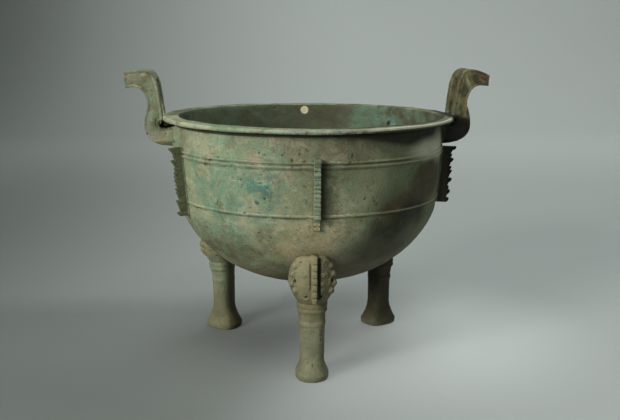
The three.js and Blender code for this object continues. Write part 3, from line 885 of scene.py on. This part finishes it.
def paintFrontAndLeftLegs(m):  # their right sides painted browner as shade, and a painted shadow in the groove beside the mask's ridge
    # painted shade on the right half of the front mask
    m.sharpSpot("brown", 0.4 * m.ramp(m.grit, 0.3, 0.6), (17, -150, 124), 27, 0.25, (0.55, 1, 1))
    shank = m.ramp(m.x, 0.001, 0.008) * m.ramp(m.y, -0.1, -0.11)
    m.paint("brown", 0.45 * shank * m.ramp(m.z, 0.105, 0.09) * m.ramp(m.z, 0.012, 0.03))
    m.spot("verdigris", 0.35, (-116, 45, 78), 22, 0.5)
    m.spot("brown", 0.3, (-113, 45, 40), 22, 0.5)
    m.spot("leftHoof", 0.5, (-112, 50, 12), 34, 0.5)
    # painted shade on the right side of the left leg
    left = m.ramp(m.x, -0.107, -0.102) * m.ramp(m.x, -0.05, -0.07) * m.ramp(m.z, 0.135, 0.12)
    m.paint("brown", 0.7 * left * m.ramp(m.y, 0.0, 0.02))
    groove = m.ramp(m.x, -0.0012, -0.0004) * m.ramp(m.x, 0.0046, 0.0018) * m.ramp(m.y, -0.139, -0.141)
    m.paint("dark", 0.92 * groove * m.ramp(m.z, 0.098, 0.101) * m.ramp(m.z, 0.151, 0.148))


def paintInside(m):  # darker, with brown and green blotches, painted shade on the middle of the far wall, one pale disc and one pit
    outer, mottled = m.colour, m.ramp(m.cloud + 0.5 * m.mottle, 0.55, 0.85)
    m.colour = m.blend(patina["innerBrown"], patina["innerGreen"], mottled)
    m.paint("verdigris", 0.45 * m.ramp(m.noise(m.loose, 30.0, 5, 0.6), 0.5, 0.66))
    m.spot("crust", 0.45, (-105, 95, 270), 60, 0.6)
    # painted shade on the middle of the far wall
    m.spot("innerShade", 0.8, (20, 165, 275), 70, 0.6)
    m.spot("verdigris", 0.5 * m.ramp(m.mottle, 0.4, 0.55), (100, 118, 272), 42, 0.5)
    m.paint("brown", 0.5 * m.pits)
    m.colour = m.blend(outer, m.colour, m.cavity)
    m.sharpSpot("disc", 0.9, (6, 160, 287.5), 5.6, 0.12)
    m.spot("pitBlue", m.ramp(m.grit, 0.4, 0.6), (118, 106, 272), 12, 0.5)
    m.spot("dark", 1, (112, 110, 277), 5, 0.3)


def patinaMaterial():
    m = Patina("corroded bronze")
    for paint in (paintGround, paintLeftWall, paintFrontAndRightWall, paintUnderside, paintLegs, paintHandles,
                  paintBlotches, paintEdges, paintShadeAndDirt, paintNeck, paintRim, paintRightLeg, paintFrontMask,
                  paintSideFlanges, paintFrontFlange, paintFrontAndLeftLegs, paintInside):
        paint(m)
    light = m.ramp(m.grain, 0.2, 0.8, *patina["grainLight"])
    tone = m.node("ShaderNodeHueSaturation", None, {"Value": light, "Color": m.colour})
    height = 0.5 * m.cloud + 0.45 * m.mottle + 0.25 * m.blotch + 0.15 * m.grit + 0.035 * m.grain
    bump = m.node("ShaderNodeBump", None, {"Strength": patina["bump"], "Distance": patina["bumpDepth"],
                                           "Height": height - 0.35 * m.pits})
    rough = m.ramp(m.mottle + 0.3 * m.grit, 0.4, 0.9, *patina["roughness"])
    metal = m.ramp(m.cloud + 0.5 * m.mottle, 0.9, 0.6, *patina["metal"])
    return m.finish(Base_Color=tone, Roughness=rough, Metallic=metal, Normal=bump,
                    Specular_IOR_Level=patina["shine"])


ding.data.materials.clear()
ding.data.materials.append(patinaMaterial())
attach(ding, "root")
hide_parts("ding")
print("patina")

studio = {
    "paper": (0.46, 0.49, 0.48), "far": (0.43, 0.46, 0.45), "wall": (0.66, 0.7, 0.69),
    "shade": (0.15, 0.168, 0.15), "dimShare": 0.55, "glow": (0.15, 0.163, 0.158), "roughness": 0.92,
    "floorWidth": 9, "floorBack": 2.2, "curveSteps": 12, "curveStep": 0.18, "wallHeight": 4,
    "sky": (0.66, 0.7, 0.68), "skyStrength": 0.09,
    "cameraPlace": (-0.0756, -1.06, 0.3956), "cameraTilt": 78.2, "cameraTurn": -4.2,
    "lens": 49.15, "sensor": 36,
}
lamps = {  # place, what it points at, width, power, colour
    "key": ((-1.65, -1.5, 1.0), (0, 0, 0.2), 0.9, 56, (1, 0.975, 0.91)),
    "top": ((0.1, -0.75, 2.4), (0.15, 0.1, 0), 2.0, 40, (0.96, 1, 0.98)),
    "back": ((0.7, 1.1, 2.1), (0.3, 1.6, 0), 1.4, 15, (0.95, 1, 0.99)),
}


def makeBackdrop():  # one sweep of paper: floor, wide curve and wall
    bpy.ops.object.select_all(action="DESELECT")
    bpy.ops.mesh.primitive_plane_add(size=studio["floorWidth"], location=(0, 0, 0))
    sweep = settle(bpy.context.object)
    sweep.name = "paper_sweep"
    for v in sweep.data.vertices:
        if v.co.y > 0:
            v.co.y = studio["floorBack"]
    for i in range(studio["curveSteps"]):
        bpy.ops.object.mode_set(mode="OBJECT")
        far = max(v.co.y + v.co.z for v in sweep.data.vertices)
        for v in sweep.data.vertices:
            v.select = v.co.y + v.co.z > far - mm
        bpy.ops.object.mode_set(mode="EDIT")
        bpy.ops.mesh.select_mode(type="VERT")
        turn = (i + 0.5) / studio["curveSteps"] * math.pi / 2
        step = (0, studio["curveStep"] * math.cos(turn), studio["curveStep"] * math.sin(turn))
        bpy.ops.mesh.extrude_region_move(TRANSFORM_OT_translate={"value": step})
    bpy.ops.mesh.extrude_region_move(TRANSFORM_OT_translate={"value": (0, 0, studio["wallHeight"])})
    leaveEdit()
    pick(sweep)
    bpy.ops.object.shade_smooth()
    sweep.data.materials.append(paperMaterial())


def paperMaterial():  # painted shade at the left with a painted shadow on the floor there, the wall painted brighter than the floor, and painted light (a glow) on the floor under and beside the vessel
    m = Sheet("paper")
    at = m.place()
    across, along, _ = m.split(at)
    # floor, far floor and wall in different tones of one paper: the wall painted brighter, as painted light
    colour = m.blend(studio["paper"], studio["far"], m.ramp(along, 0.0, 0.7))
    colour = m.blend(colour, studio["wall"], m.ramp(along, 0.9, 2.3))
    onFloor, onWall = m.ramp(across, -0.75, 0.1), m.ramp(across, -1.8, 0.5)
    # painted shade over the left of floor and wall
    colour = m.blend(studio["shade"], colour, onFloor + (onWall - onFloor) * m.ramp(along, 0.5, 2.2))
    colour = m.blend(colour, studio["shade"], 0.6 * m.ramp(along, 2.0, 3.2) * m.ramp(across, -0.7, -1.5))
    slant = across - 0.66 * along
    # painted shadow across the floor at the left
    dim = m.ramp(slant, 0.16, 0.0) * m.ramp(along, 0.24, 0.11) * m.ramp(across, -1.2, -0.4)
    colour = m.blend(colour, studio["shade"], studio["dimShare"] * dim)
    # painted light: the paper glows under and beside the vessel
    glow = m.near(at, (75, 20, 0), 235, 0.55, (1, 0.9, 1)) * m.ramp(slant, -0.06, 0.14)
    glow = m.blend((0, 0, 0), studio["glow"], glow + 0.3 * m.near(at, (-40, 60, 0), 210, 0.5))
    return m.finish(Base_Color=colour, Roughness=studio["roughness"],
                    Emission_Color=glow, Emission_Strength=1.0)


def softLight(name, place, target, width, power, colour):
    data = bpy.data.lights.new(name, "AREA")
    data.shape, data.size, data.energy, data.color = "DISK", width, power, colour
    lamp = bpy.data.objects.new(name, data)
    bpy.context.collection.objects.link(lamp)
    lamp.location = place
    lamp.rotation_euler = (Vector(target) - Vector(place)).to_track_quat("-Z", "Y").to_euler()


def makeSky():
    world = bpy.data.worlds.new("studio")
    bpy.context.scene.world = world
    world.use_nodes = True
    sky = world.node_tree.nodes["Background"].inputs
    sky[0].default_value = (*studio["sky"], 1)
    sky[1].default_value = studio["skyStrength"]


def makeCamera():
    data = bpy.data.cameras.new("photo_view")
    data.sensor_width, data.lens = studio["sensor"], studio["lens"]
    camera = bpy.data.objects.new("photo_view", data)
    bpy.context.collection.objects.link(camera)
    camera.location = studio["cameraPlace"]
    camera.rotation_euler = (math.radians(studio["cameraTilt"]), 0, math.radians(studio["cameraTurn"]))
    bpy.context.scene.camera = camera


makeBackdrop()
for name, settings in lamps.items():
    softLight(name, *settings)
makeSky()
bpy.context.scene.view_settings.view_transform = "Standard"
makeCamera()
print("studio")
